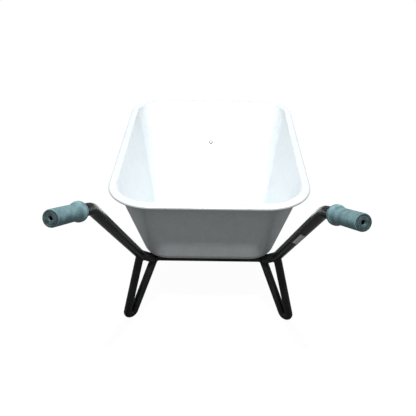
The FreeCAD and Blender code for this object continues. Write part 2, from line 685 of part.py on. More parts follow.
def tyre():
    seat = RIM_SEAT_RADIUS + TYRE_GAP
    side = RIM_HALF_WIDTH - RIM_SHEET - TYRE_GAP
    bead_top = seat + RIM_FLANGE_HEIGHT
    widest = (bead_top + TYRE_RADIUS) / 2
    shoulder = TYRE_RADIUS - TYRE_SHOULDER_DROP
    crown_inside = TYRE_RADIUS - TYRE_CROWN_THICKNESS

    def arc(a, b, c):
        points = [AXLE_CENTRE + Vector(x, 0, r) for x, r in (a, b, c)]
        return Part.Arc(*points).toShape()

    def line(a, b):
        points = [AXLE_CENTRE + Vector(x, 0, r) for x, r in (a, b)]
        return Part.LineSegment(*points).toShape()

    thin = TYRE_SIDE_THICKNESS
    bead = side - TYRE_BEAD_THICKNESS
    inner_shoulder = (TREAD_HALF_WIDTH - thin, shoulder - thin)
    inner_shoulder_left = (thin - TREAD_HALF_WIDTH, shoulder - thin)
    edges = [
        line((-side, seat), (-side, bead_top)),
        arc((-side, bead_top), (-TYRE_HALF_WIDTH, widest), (-TREAD_HALF_WIDTH, shoulder)),
        arc((-TREAD_HALF_WIDTH, shoulder), (0, TYRE_RADIUS), (TREAD_HALF_WIDTH, shoulder)),
        arc((TREAD_HALF_WIDTH, shoulder), (TYRE_HALF_WIDTH, widest), (side, bead_top)),
        line((side, bead_top), (side, seat)),
        line((side, seat), (bead, seat)),
        line((bead, seat), (side - thin, bead_top)),
        arc((side - thin, bead_top), (TYRE_HALF_WIDTH - thin, widest), inner_shoulder),
        arc(inner_shoulder, (0, crown_inside), inner_shoulder_left),
        arc(inner_shoulder_left, (thin - TYRE_HALF_WIDTH, widest), (thin - side, bead_top)),
        line((thin - side, bead_top), (-bead, seat)),
        line((-bead, seat), (-side, seat)),
    ]
    body = Part.Face(Part.Wire(edges)).revolve(AXLE_CENTRE, X_AXIS, 360)
    return body.cut(Part.makeCompound(tread_cuts()))


def tread_cuts():
    """Two grooves round the tread, and slots across each shoulder."""
    cuts = []
    low = TYRE_RADIUS - TREAD_DEPTH
    half = TREAD_GROOVE_WIDTH / 2
    start = TREAD_GROOVE_X + TREAD_GROOVE_WIDTH
    for side in (-1, 1):
        middle = side * TREAD_GROOVE_X
        cuts.append(turned([(middle - half, low), (middle + half, low),
                            (middle + half, TYRE_RADIUS + 1), (middle - half, TYRE_RADIUS + 1)]))
        for i in range(TREAD_SLOTS):
            corner = Vector(start, -TREAD_SLOT_WIDTH / 2, low - TREAD_SLOT_DEEPER)
            slot = Part.makeBox(TYRE_HALF_WIDTH - start, TREAD_SLOT_WIDTH, TYRE_RADIUS, corner)
            if side < 0:
                slot = mirrored(slot)
            turn = 360.0 / TREAD_SLOTS * (i + TREAD_STAGGER * side)
            slot.rotate(Vector(0, 0, 0), X_AXIS, turn)
            slot.translate(AXLE_CENTRE)
            cuts.append(slot)
    return cuts


def inner_tube():
    """Hollow rubber ring inside the tyre, with the hole that the valve fills."""
    low = RIM_SEAT_RADIUS + TUBE_ABOVE_SEAT
    high = TYRE_RADIUS - TYRE_CROWN_THICKNESS - TYRE_GAP
    middle = AXLE_CENTRE + Z_AXIS * ((low + high) / 2)
    tall = (high - low) / 2
    wide = TYRE_HALF_WIDTH - 2 * TYRE_SIDE_THICKNESS
    rings = []
    for inset in (0, TUBE_THICKNESS):
        a, b = sorted((tall - inset, wide - inset))
        major = Z_AXIS if tall > wide else X_AXIS
        minor = X_AXIS if tall > wide else Z_AXIS
        oval = Part.Ellipse(middle + major * b, middle + minor * a, middle)
        rings.append(Part.Face(Part.Wire(oval.toShape())).revolve(AXLE_CENTRE, X_AXIS, 360))
    tube = rings[0].cut(rings[1])
    return tube.cut(cylinder(VALVE_RADIUS + WELD_GAP, valve_point(VALVE_REACH), valve_point(-tall)))


def valve_point(inward):
    """Point on the valve's axis, at a distance towards the axle from the inner tube's inner side."""
    return AXLE_CENTRE + Vector(VALVE_X, 0, RIM_SEAT_RADIUS + VALVE_ABOVE_SEAT - inward)


def valve_stem():
    return cylinder(VALVE_RADIUS - WELD_GAP, valve_point(-VALVE_IN_TUBE), valve_point(VALVE_REACH))


def valve_cap():
    end = VALVE_REACH + VALVE_CAP_END
    cap = cylinder(VALVE_CAP_RADIUS, valve_point(end - VALVE_CAP_LENGTH), valve_point(end))
    return cap.cut(cylinder(VALVE_RADIUS, valve_point(0), valve_point(VALVE_REACH)))


def right_rim_half():
    seat = RIM_SEAT_RADIUS
    low = seat - RIM_SHEET
    flange = seat + RIM_FLANGE_HEIGHT
    hub = HUB_RADIUS + WELD_GAP
    half = turned([
        (0, seat), (RIM_HALF_WIDTH - RIM_SHEET, seat), (RIM_HALF_WIDTH - RIM_SHEET, flange),
        (RIM_HALF_WIDTH, flange), (RIM_HALF_WIDTH, low), (RIM_SHEET, low),
        (RIM_SHEET, RIM_WEB_INNER), (RIM_DISH + RIM_SHEET, RIM_DISH_RADIUS), (RIM_DISH + RIM_SHEET, hub),
        (RIM_DISH, hub), (RIM_DISH, RIM_DISH_RADIUS), (0, RIM_WEB_INNER),
    ])
    for place in rim_bolt_places():
        half = half.cut(cylinder(BOLT_HOLE_RADIUS, place - X_AXIS, place + X_AXIS * (2 * RIM_SHEET)))
    return half


def drilled_rim_half():
    """The half that the valve goes through."""
    return right_rim_half().cut(cylinder(VALVE_RADIUS + TYRE_GAP, valve_point(0), valve_point(VALVE_REACH)))


def rim_bolt_places():
    places = []
    for i in range(RIM_BOLTS):
        turn = 2 * math.pi * (i + 0.5) / RIM_BOLTS
        places.append(AXLE_CENTRE + Vector(0, math.cos(turn), math.sin(turn)) * RIM_BOLT_RADIUS)
    return places


def rim_bolts():
    bolts = []
    for place in rim_bolt_places():
        seat = place + X_AXIS * RIM_SHEET
        end = place - X_AXIS * (RIM_SHEET + NUT_HEIGHT + BOLT_SHOWING)
        head = hexagon(NUT_ACROSS_FLATS, seat, seat + X_AXIS * HEX_HEAD_HEIGHT)
        bolts.append(head.fuse(cylinder(BOLT_RADIUS, end, seat)))
    return bolts


def rim_nuts():
    return [nut(place - X_AXIS * RIM_SHEET, -X_AXIS) for place in rim_bolt_places()]


def hub():
    half = X_AXIS * HUB_HALF_LENGTH
    return ring(HUB_RADIUS, BUSH_RADIUS, AXLE_CENTRE - half, AXLE_CENTRE + half)


def right_bush():
    end = AXLE_CENTRE + X_AXIS * HUB_HALF_LENGTH
    bush = cylinder(BUSH_RADIUS, end - X_AXIS * BUSH_LENGTH, end)
    bush = bush.fuse(cylinder(BUSH_FLANGE_RADIUS, end, end + X_AXIS * BUSH_FLANGE))
    return bush.cut(cylinder(AXLE_RADIUS + AXLE_RUNNING_GAP, AXLE_CENTRE, end + X_AXIS * (2 * BUSH_FLANGE)))


def axle():
    half = BRACKET_X + BRACKET_SHEET + AXLE_WASHER + AXLE_NUT_HEIGHT + AXLE_THREAD_SHOWING
    return cylinder(AXLE_RADIUS, AXLE_CENTRE - X_AXIS * half, AXLE_CENTRE + X_AXIS * half)


def right_spacer():
    start = AXLE_CENTRE + X_AXIS * (HUB_HALF_LENGTH + BUSH_FLANGE + AXLE_END_PLAY)
    return ring(SPACER_RADIUS, AXLE_RADIUS + SPACER_CLEARANCE, start, AXLE_CENTRE + X_AXIS * BRACKET_X)


def axle_washers():
    start = AXLE_CENTRE + X_AXIS * (BRACKET_X + BRACKET_SHEET)
    end = start + X_AXIS * AXLE_WASHER
    return both_sides(ring(AXLE_WASHER_RADIUS, AXLE_RADIUS + SPACER_CLEARANCE, start, end))


def axle_nuts():
    start = AXLE_CENTRE + X_AXIS * (BRACKET_X + BRACKET_SHEET + AXLE_WASHER)
    end = start + X_AXIS * AXLE_NUT_HEIGHT
    return both_sides(hexagon(AXLE_NUT_ACROSS_FLATS, start, end).cut(cylinder(AXLE_RADIUS, start, end)))


def wheelbarrow():
    """Every piece by its name; a name with a list holds separate solids."""
    pieces = {
        "tray": tray(),
        "front_hoop": front_hoop(),
        "hoop_screws": hoop_screws(),
        "cross_brace": cross_brace(),
        "front_stay": front_stay(),
        "stay_bolt": stay_bolt(),
        "stay_washer": stay_washer(),
        "stay_nut": stay_nut(),
        "tray_bolts": tray_bolts(),
        "tray_washers": tray_washers(),
        "tray_nuts": tray_nuts(),
        "bracket_bolts": bracket_bolts(),
        "bracket_nuts": bracket_nuts(),
        "handle_label": handle_label(),
        "tyre": tyre(),
        "inner_tube": inner_tube(),
        "valve_stem": valve_stem(),
        "valve_cap": valve_cap(),
        "hub": hub(),
        "rim_bolts": rim_bolts(),
        "rim_nuts": rim_nuts(),
        "axle": axle(),
        "axle_washers": axle_washers(),
        "axle_nuts": axle_nuts(),
        "right_rim_half": drilled_rim_half(),
        "left_rim_half": mirrored(right_rim_half()),
    }
    pairs = {
        "rail": right_rail(),
        "leg": right_leg(),
        "axle_bracket": right_axle_bracket(),
        "grip": right_grip(),
        "bush": right_bush(),
        "spacer": right_spacer(),
    }
    for name, shape in pairs.items():
        pieces["right_" + name] = shape
        pieces["left_" + name] = mirrored(shape)
    return pieces


def middle_of_length(pieces):
    """Y of the middle between the grips' rear ends and the hoop's front."""
    rear = pieces["right_grip"].optimalBoundingBox(False, False).YMin
    front = HOOP_Y + RAIL_RADIUS
    return (rear + front) / 2


def save(pieces):
    os.makedirs("parts", exist_ok=True)
    shift = Vector(0, -middle_of_length(pieces), 0)
    for name, shape in pieces.items():
        if isinstance(shape, list):
            shape = Part.makeCompound(shape)
        shape.translate(shift)
        shape.exportStep("parts/" + name + ".step")
        print(name, len(shape.Solids), round(shape.Volume / 1000, 1), "cm3", shape.isValid())
    print("origin at layout y =", round(-shift.y, 3))


save(wheelbarrow())
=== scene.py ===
import math

import bmesh
import bpy
from bpy.props import FloatProperty, FloatVectorProperty, PointerProperty
from mathutils import Matrix, Vector
from mathutils.bvhtree import BVHTree


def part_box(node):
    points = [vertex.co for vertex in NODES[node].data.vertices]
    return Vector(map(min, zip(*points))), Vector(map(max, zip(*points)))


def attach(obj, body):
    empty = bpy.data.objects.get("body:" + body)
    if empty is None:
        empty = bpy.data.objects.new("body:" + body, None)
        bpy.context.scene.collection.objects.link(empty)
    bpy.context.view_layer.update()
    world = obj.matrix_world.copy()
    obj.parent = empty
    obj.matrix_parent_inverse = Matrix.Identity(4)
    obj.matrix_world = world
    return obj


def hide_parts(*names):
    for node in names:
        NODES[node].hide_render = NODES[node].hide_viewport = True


bl_info = {
    "name": "Wheelbarrow finish",
    "version": (1, 0, 0),
    "blender": (4, 5, 0),
    "location": "3D View > Sidebar > Wheelbarrow",
    "description": "Finishes, grips, welds and studio for a wheelbarrow with a drawn tray",
    "category": "Object",
}

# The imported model: every piece is placed from the boxes and meshes of its nodes.
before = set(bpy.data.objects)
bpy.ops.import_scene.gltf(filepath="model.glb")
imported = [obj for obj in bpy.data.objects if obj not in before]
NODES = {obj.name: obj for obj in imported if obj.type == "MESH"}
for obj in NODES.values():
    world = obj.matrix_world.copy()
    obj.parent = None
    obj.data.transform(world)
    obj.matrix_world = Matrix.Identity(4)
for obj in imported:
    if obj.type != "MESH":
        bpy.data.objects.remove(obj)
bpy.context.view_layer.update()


# ---------------------------------------------------------------- shader maths

class Value:
    """A number that varies over a surface. Arithmetic on it adds Math nodes to its material."""

    def __init__(self, graph, socket):
        self.graph = graph
        self.socket = socket

    def math(self, operation, *values):
        return self.graph.node("Math", {"operation": operation}, *values)

    def __add__(self, other):
        return self.math("ADD", self, other)

    def __radd__(self, other):
        return self.math("ADD", other, self)

    def __mul__(self, other):
        return self.math("MULTIPLY", self, other)

    def __rmul__(self, other):
        return self.math("MULTIPLY", other, self)

    def __pow__(self, other):
        return self.math("POWER", self, other)

    def __rpow__(self, other):
        return self.math("POWER", other, self)


class Graph:
    """The nodes of one material or world."""

    def __init__(self, name):
        self.material = bpy.data.materials.new(name)
        self.material.use_nodes = True
        self.tree = self.material.node_tree
        self.tree.nodes.clear()

    @classmethod
    def on(cls, tree):
        """A graph on an existing node tree, which is emptied."""
        graph = cls.__new__(cls)
        graph.material = None
        graph.tree = tree
        tree.nodes.clear()
        return graph

    def node(self, kind, settings, *inputs, output=0, **named):
        """Adds a node, applies its settings, then fills its sockets in order and by name."""
        node = self.tree.nodes.new("ShaderNode" + kind)
        for key, value in settings.items():
            if key == "stops":
                self.set_stops(node.color_ramp, value)
            else:
                setattr(node, key, value)
        for index, value in enumerate(inputs):
            self.fill(node.inputs[index], value)
        for key, value in named.items():
            self.fill(node.inputs[key.replace("_", " ")], value)
        return Value(self, node.outputs[output])

    def fill(self, socket, value):
        if isinstance(value, Value):
            self.tree.links.new(value.socket, socket)
        elif value is not None:
            socket.default_value = value

    def set_stops(self, ramp, stops):
        while len(ramp.elements) < len(stops):
            ramp.elements.new(0.5)
        for element, (position, shade) in zip(ramp.elements, stops):
            element.position = position
            element.color = (shade, shade, shade, 1.0)

    def place(self, stretch=(1.0, 1.0, 1.0)):
        """The point on the object in metres, with each axis multiplied by a number."""
        point = self.node("TexCoord", {}, output="Object")
        return self.node("VectorMath", {"operation": "MULTIPLY"}, point, stretch)

    def noise(self, scale, detail=3.0, stretch=(1.0, 1.0, 1.0), roughness=0.5):
        return self.node("TexNoise", {"normalize": True}, Vector=self.place(stretch), Scale=scale,
                         Detail=detail, Roughness=roughness, output="Fac")

    def cells(self, scale):
        """A plain random colour for each cell."""
        return self.node("TexVoronoi", {"feature": "F1"}, Vector=self.place(), Scale=scale, output="Color")

    def ramp(self, value, *stops):
        """Maps a value through straight stops of (position, result)."""
        return self.node("ValToRGB", {"stops": stops}, value)

    def colours(self, amount, first, second):
        """First colour where the amount is 0, second where it is 1."""
        node = self.tree.nodes.new("ShaderNodeMix")
        node.data_type = "RGBA"
        for name, value in (("Factor_Float", amount), ("A_Color", first), ("B_Color", second)):
            socket = next(s for s in node.inputs if s.identifier == name)
            self.fill(socket, value if isinstance(value, (Value, float)) else (*value[:3], 1.0))
        return Value(self, next(s for s in node.outputs if s.identifier == "Result_Color"))

    def bump(self, height, distance, strength):
        return self.node("Bump", {}, Height=height, Distance=distance, Strength=strength, output="Normal")

    def surface(self, **sockets):
        """Principled shader on the output, then the finished material."""
        shader = self.node("BsdfPrincipled", {}, **sockets)
        self.node_output(shader)
        return self.material

    def node_output(self, shader):
        output = self.tree.nodes.new("ShaderNodeOutputMaterial")
        self.tree.links.new(shader.socket, output.inputs["Surface"])


# ---------------------------------------------------------------- materials

def galvanised_sheet(look):
    """Drawn zinc-coated sheet: faint spangle, streaks down the walls, and soft blotches."""
    g = Graph("galvanised_sheet")
    streaks = g.noise(1.0, 4.0, (70.0, 70.0, 5.0), 0.62)
    fine = g.noise(1.0, 3.0, (420.0, 420.0, 18.0), 0.6)
    blotches = g.noise(9.0, 3.0)
    spangle = g.node("SeparateColor", {}, g.cells(120.0), output="Red")
    tone = 0.50 * streaks + 0.18 * fine + 0.22 * blotches + 0.10 * spangle
    dark, light = look.sheet_dark, look.sheet_light
    colour = g.colours(g.ramp(tone, (0.34, 0.0), (0.66, 1.0)), dark, light)
    rough = g.ramp(0.6 * streaks + 0.4 * blotches, (0.3, look.sheet_roughness - 0.05),
                   (0.7, look.sheet_roughness + 0.07))
    bump = g.bump(0.5 * blotches + 0.5 * streaks, 0.0008, 0.4)
    return g.surface(Base_Color=colour, Metallic=look.sheet_metallic, Roughness=rough, Normal=bump)


def black_enamel(look):
    """Glossy black paint on tube: slight orange peel, dust in patches, and small duller marks."""
    g = Graph("black_enamel")
    peel = g.noise(260.0, 2.0)
    dust = g.noise(22.0, 4.0)
    marks = g.noise(90.0, 5.0)
    dusty = g.ramp(dust * 0.7 + marks * 0.3, (0.46, 0.0), (0.68, 1.0))
    colour = g.colours(dusty, look.paint_colour, look.paint_dust)
    rough = look.paint_roughness + 0.16 * dusty + 0.05 * marks
    bump = g.bump(0.7 * peel + 0.3 * marks, 0.0004, 0.16)
    return g.surface(Base_Color=colour, Roughness=rough, Specular_IOR_Level=0.3, Coat_Weight=0.2,
                     Coat_Roughness=0.07, Normal=bump)


def grip_plastic(look):
    """Moulded soft plastic: fine grain, cloudy colour and slightly polished high spots."""
    g = Graph("grip_plastic")
    grain = g.noise(900.0, 2.0)
    cloud = g.noise(60.0, 4.0)
    colour = g.colours(g.ramp(cloud, (0.35, 0.0), (0.65, 1.0)), look.grip_dark, look.grip_light)
    rough = 0.24 + 0.20 * cloud
    bump = g.bump(0.7 * grain + 0.3 * cloud, 0.0005, 0.35)
    return g.surface(Base_Color=colour, Roughness=rough, Normal=bump)


def painted_shade_plastic(look):
    """Painted shade on the end face and in the flange groove of a grip: far darker and duller than the
    barrel, with pale scuffs.
    """
    g = Graph("painted_shade_plastic")
    scuffs = g.noise(420.0, 5.0)
    cloud = g.noise(110.0, 4.0)
    # Painted shade: a tone far darker than the grip's own dark tone.
    painted_shade_tone = tuple(0.16 * c for c in look.grip_dark)
    tone = g.colours(g.ramp(0.5 * scuffs + 0.5 * cloud, (0.48, 0.0), (0.72, 0.8)), painted_shade_tone, look.grip_dark)
    return g.surface(Base_Color=tone, Roughness=0.5 + 0.2 * scuffs, Normal=g.bump(scuffs, 0.0007, 0.5))


def rubber(name, colour, roughness):
    """Black rubber with a matt, slightly dusty skin."""
    g = Graph(name)
    grain = g.noise(700.0, 2.0)
    dust = g.noise(30.0, 4.0)
    pale = tuple(0.018 + c for c in colour[:3])
    tone = g.colours(g.ramp(dust, (0.40, 0.0), (0.80, 1.0)), colour, pale)
    return g.surface(Base_Color=tone, Roughness=roughness + 0.1 * dust, Normal=g.bump(grain, 0.0005, 0.4))


def sprayed_paint(name, colour, roughness):
    """Plain sprayed paint on pressed steel."""
    g = Graph(name)
    peel = g.noise(320.0, 2.0)
    soil = g.noise(26.0, 5.0)
    dull = tuple(0.62 * c for c in colour[:3])
    tone = g.colours(g.ramp(soil, (0.52, 0.0), (0.78, 1.0)), colour, dull)
    return g.surface(Base_Color=tone, Metallic=0.35, Roughness=roughness + 0.18 * soil,
                     Normal=g.bump(peel, 0.0004, 0.3))


def zinc_plate():
    """Bright zinc on fasteners, with fine turning marks and small dull spots."""
    g = Graph("zinc_plate")
    spots = g.noise(160.0, 4.0)
    fine = g.noise(1300.0, 2.0)
    tone = g.colours(g.ramp(spots, (0.4, 0.0), (0.7, 1.0)), (0.56, 0.57, 0.55), (0.36, 0.37, 0.37))
    return g.surface(Base_Color=tone, Metallic=1.0, Roughness=0.28 + 0.25 * spots,
                     Normal=g.bump(fine, 0.0002, 0.4))


def moulded(name, colour, roughness):
    """Plain moulded plastic with a little cloudiness."""
    g = Graph(name)
    cloud = g.noise(140.0, 3.0)
    deep = tuple(0.8 * c for c in colour[:3])
    tone = g.colours(cloud, colour, deep)
    return g.surface(Base_Color=tone, Roughness=roughness + 0.1 * cloud, Normal=g.bump(cloud, 0.0004, 0.3))


def label_paper(look):
    """Blank pale label, a little scuffed and yellowed."""
    g = Graph("label_paper")
    fibre = g.noise(1.0, 4.0, (300.0, 900.0, 900.0))
    stain = g.noise(70.0, 4.0)
    darkened = g.ramp(stain, (0.42, 0.0), (0.7, 1.0))
    tone = g.colours(darkened, look.label_colour, tuple(0.82 * c for c in look.label_colour))
    return g.surface(Base_Color=tone, Roughness=0.45 + 0.2 * darkened, Normal=g.bump(fibre, 0.0002, 0.4))


def give(names, material):
    """Puts a material on the named CAD nodes."""
    for name in names:
        for material_slot in NODES[name].material_slots:
            material_slot.material = material


# ---------------------------------------------------------------- mesh helpers

ON_THE_AXIS = 1e-7
FEWEST_SEAM_POINTS = 10
RIPPLE_LENGTH = 0.0022
RIPPLE_SHARE = 0.16
FEWEST_RIPPLES = 8
WELD_RADIUS = 0.0021


def new_piece(name, mesh, material, body):
    """A new object in the frame that rides on a body."""
    mesh.materials.append(material)
    for polygon in mesh.polygons:
        polygon.use_smooth = True
    piece = bpy.data.objects.new(name, mesh)
    bpy.context.scene.collection.objects.link(piece)
    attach(piece, body)
    return piece


def lathe(name, profile, origin, axis, steps=96):
    """Mesh turned about an axis; the profile is a list of (distance along the axis, radius)."""
    turn = Vector((0, 0, 1)).rotation_difference(axis).to_matrix().to_4x4()
    place = Matrix.Translation(origin) @ turn
    mesh = bpy.data.meshes.new(name)
    work = bmesh.new()
    rings = []
    for along, radius in profile:
        if radius < ON_THE_AXIS:
            rings.append([work.verts.new(place @ Vector((0, 0, along)))] * steps)
            continue
        ring = []
        for i in range(steps):
            angle = 2 * math.pi * i / steps
            point = Vector((radius * math.cos(angle), radius * math.sin(angle), along))
            ring.append(work.verts.new(place @ point))
        rings.append(ring)
    for near, far in zip(rings, rings[1:]):
        for i in range(steps):
            j = (i + 1) % steps
            corners = [near[i], near[j], far[j], far[i]]
            corners = [v for k, v in enumerate(corners) if v not in corners[:k]]
            work.faces.new(corners)
    bmesh.ops.recalc_face_normals(work, faces=work.faces)
    work.to_mesh(mesh)
    work.free()
    return mesh


def main_direction(points, weights, least=False):
    """Middle of weighted points, and the direction in which they spread most, or least."""
    total = sum(weights)
    middle = sum((p * w for p, w in zip(points, weights)), Vector()) / total
    spread = Matrix.Diagonal((0.0, 0.0, 0.0))
    for point, weight in zip(points, weights):
        away = point - middle
        for row in range(3):
            spread[row] = Vector(spread[row]) + away * (away[row] * weight / total)
    if least:
        trace = spread[0][0] + spread[1][1] + spread[2][2]
        spread = Matrix.Diagonal((trace, trace, trace)) - spread
    way = Vector((0.4, 0.8, 0.45))
    for _ in range(200):
        way = (spread @ way).normalized()
    return middle, way


def node_points(name):
    """Vertices of a CAD node in the frame."""
    node = NODES[name]
    return [node.matrix_world @ v.co for v in node.data.vertices]


def turned_axis(name):
    """Outer end, direction towards the wheel, and length of a node that is turned about an axis."""
    node = NODES[name]
    faces = node.data.polygons
    places = [node.matrix_world @ f.center for f in faces]
    middle, way = main_direction(places, [f.area for f in faces])
    if way.y < 0:
        way = -way
    reach = [(p - middle).dot(way) for p in node_points(name)]
    return middle + way * min(reach), way, max(reach) - min(reach)


def nearest_surface(names):
    """Search tree over the faces of some CAD nodes."""
    vertices, faces = [], []
    for name in names:
        start = len(vertices)
        vertices += node_points(name)
        faces += [[start + i for i in f.vertices] for f in NODES[name].data.polygons]
    return BVHTree.FromPolygons(vertices, faces)


def seams(name, others, reach=0.0004, apart=0.06, steps=44):
    """Closed rings of points where the ends of a tube meet other pieces, with each ring's middle."""
    tree = nearest_surface(others)
    touching = [p for p in node_points(name) if tree.find_nearest(p, reach)[0] is not None]
    groups = []
    for point in touching:
        near = next((g for g in groups if (g[0] - point).length < apart), None)
        if near:
            near.append(point)
        else:
            groups.append([point])
    rings = []
    for group in groups:
        middle, way = main_direction(group, [1.0] * len(group), least=True)
        side = way.orthogonal().normalized()
        other = way.cross(side)
        outer = {}
        for point in group:
            away = point - middle
            flat = Vector((away.dot(side), away.dot(other)))
            step = int(steps * (math.atan2(flat.y, flat.x) / (2 * math.pi) + 0.5)) % steps
            if step not in outer or flat.length > outer[step][0]:
                outer[step] = (flat.length, point)
        ring = [outer[step][1] for step in sorted(outer)]
        if len(ring) >= FEWEST_SEAM_POINTS:
            rings.append((ring, middle))
    return rings


def smooth_ring(points, per_span=5):
    """More points on a smooth closed curve through the given ones."""
    out = []
    count = len(points)
    for i in range(count):
        a, b, c, d = (points[(i + k) % count] for k in (-1, 0, 1, 2))
        for k in range(per_span):
            t = k / per_span
            out.append(0.5 * (2 * b + (c - a) * t + (2 * a - 5 * b + 4 * c - d) * t * t
                              + (3 * b - a - 3 * c + d) * t * t * t))
    return out


def bead(name, points, middle, radius, sides=8):
    """Closed tube along a ring of points, with the small ripples of a weld."""
    path = smooth_ring(points)
    count = len(path)
    around = sum((path[i] - path[i - 1]).length for i in range(count))
    ripples = max(FEWEST_RIPPLES, round(around / RIPPLE_LENGTH))
    mesh = bpy.data.meshes.new(name)
    work = bmesh.new()
    rings = []
    for i, point in enumerate(path):
        ahead = (path[(i + 1) % count] - path[i - 1]).normalized()
        out = point - middle
        out = (out - ahead * out.dot(ahead)).normalized()
        up = ahead.cross(out)
        thick = radius * (1.0 + RIPPLE_SHARE * math.sin(2 * math.pi * ripples * i / count))
        ring = []
        for k in range(sides):
            angle = 2 * math.pi * k / sides
            away = out * (thick * math.cos(angle)) + up * (thick * math.sin(angle))
            ring.append(work.verts.new(point + away))
        rings.append(ring)
    for i in range(count):
        near, far = rings[i], rings[(i + 1) % count]
        for k in range(sides):
            j = (k + 1) % sides
            work.faces.new((near[k], near[j], far[j], far[k]))
    bmesh.ops.recalc_face_normals(work, faces=work.faces)
    work.to_mesh(mesh)
    work.free()
    return mesh


def join_meshes(name, meshes):
    """One mesh from several."""
    work = bmesh.new()
    for mesh in meshes:
        work.from_mesh(mesh)
        bpy.data.meshes.remove(mesh)
    joined = bpy.data.meshes.new(name)
    work.to_mesh(joined)
    work.free()
    return joined


# ---------------------------------------------------------------- settings

class WheelbarrowLook(bpy.types.PropertyGroup):
    """Colours and finishes of the wheelbarrow."""

    sheet_dark: FloatVectorProperty(name="Sheet, dark", description="Darker tone of the galvanised sheet",
                                    default=(0.66, 0.70, 0.715), subtype="COLOR", min=0.0, max=1.0)
    sheet_light: FloatVectorProperty(name="Sheet, light", description="Lighter tone of the galvanised sheet",
                                     default=(0.76, 0.795, 0.81), subtype="COLOR", min=0.0, max=1.0)
    sheet_roughness: FloatProperty(name="Sheet roughness", description="Middle roughness of the sheet",
                                   default=0.42, min=0.1, max=0.9)
    sheet_metallic: FloatProperty(name="Sheet metallic", description="Share of metal in the sheet's finish",
                                  default=0.30, min=0.0, max=1.0)
    paint_colour: FloatVectorProperty(name="Frame paint", description="Enamel on the tubes",
                                      default=(0.0085, 0.009, 0.0095), subtype="COLOR", min=0.0, max=1.0)
    paint_dust: FloatVectorProperty(name="Dust", description="Tone of dust on the tubes",
                                    default=(0.020, 0.020, 0.020), subtype="COLOR", min=0.0, max=1.0)
    paint_roughness: FloatProperty(name="Paint roughness", description="Roughness of clean enamel",
                                   default=0.15, min=0.02, max=0.9)
    grip_dark: FloatVectorProperty(name="Grip, dark", description="Darker tone of the grips",
                                   default=(0.10, 0.195, 0.21), subtype="COLOR", min=0.0, max=1.0)
    grip_light: FloatVectorProperty(name="Grip, light", description="Lighter tone of the grips",
                                    default=(0.19, 0.32, 0.345), subtype="COLOR", min=0.0, max=1.0)
    label_colour: FloatVectorProperty(name="Label", description="Colour of the blank label",
                                      default=(0.90, 0.88, 0.83), subtype="COLOR", min=0.0, max=1.0)


class WheelbarrowStudio(bpy.types.PropertyGroup):
    """Camera, lamps and floor."""

    camera_place: FloatVectorProperty(name="Camera", subtype="TRANSLATION", unit="LENGTH",
                                      description="Camera from the middle of the tray rim's rear edge",
                                      default=(0.0129, -1.3057, 1.1193))
    camera_pitch: FloatProperty(name="Pitch", description="How far the camera looks down",
                                default=math.radians(25.89), subtype="ANGLE", unit="ROTATION")
    camera_yaw: FloatProperty(name="Yaw", description="How far the camera looks to the right",
                              default=math.radians(-0.63), subtype="ANGLE", unit="ROTATION")
    camera_roll: FloatProperty(name="Roll", description="Tilt of the camera about its own line of sight",
                               default=math.radians(0.465), subtype="ANGLE", unit="ROTATION")
    focal_length: FloatProperty(name="Focal length", description="Lens in millimetres on a 36 mm sensor",
                                default=45.57, min=10.0, max=200.0)
    key_elevation: FloatProperty(name="Key elevation", subtype="ANGLE", unit="ROTATION",
                                 description="Height of the key lamp, from behind the camera",
                                 default=math.radians(59.4))
    key_strength: FloatProperty(name="Key strength", description="Irradiance of the key lamp",
                                default=3.0, min=0.0)
    key_spread: FloatProperty(name="Key spread", description="Angular size of the key lamp",
                              default=math.radians(1.6), subtype="ANGLE", unit="ROTATION")
    sky_strength: FloatProperty(name="Sky", default=1.35, min=0.0,
                                description="Brightness of the surroundings straight above the object")
    horizon_strength: FloatProperty(name="Horizon", default=0.08, min=0.0,
                                    description="Brightness of the surroundings level with the object")
    side_strength: FloatProperty(name="Sides", default=0.45, min=0.0,
                                 description="Extra brightness to the left and right of the object")
    floor_shade: FloatProperty(name="Floor shade", description="How pale the floor is to the object",
                               default=0.10, min=0.0, max=1.0)


# ---------------------------------------------------------------- operators

FRAME_TUBES = ["right_rail", "left_rail", "front_hoop", "right_leg", "left_leg", "cross_brace",
               "front_stay", "right_axle_bracket", "left_axle_bracket"]
FASTENERS = ["hoop_screws", "stay_bolt", "stay_washer", "stay_nut", "tray_bolts", "tray_washers",
             "tray_nuts", "bracket_bolts", "bracket_nuts", "axle", "axle_washers", "axle_nuts",
             "right_spacer", "left_spacer", "rim_bolts", "rim_nuts"]


class WHEELBARROW_OT_tray(bpy.types.Operator):
    """Galvanised finish on the tray"""
    bl_idname = "wheelbarrow.tray"
    bl_label = "Tray"

    def execute(self, context):
        give(["tray"], galvanised_sheet(context.scene.wheelbarrow_look))
        return {"FINISHED"}


class WHEELBARROW_OT_tubes(bpy.types.Operator):
    """Black enamel on the frame"""
    bl_idname = "wheelbarrow.tubes"
    bl_label = "Frame tubes"

    def execute(self, context):
        give(FRAME_TUBES, black_enamel(context.scene.wheelbarrow_look))
        return {"FINISHED"}


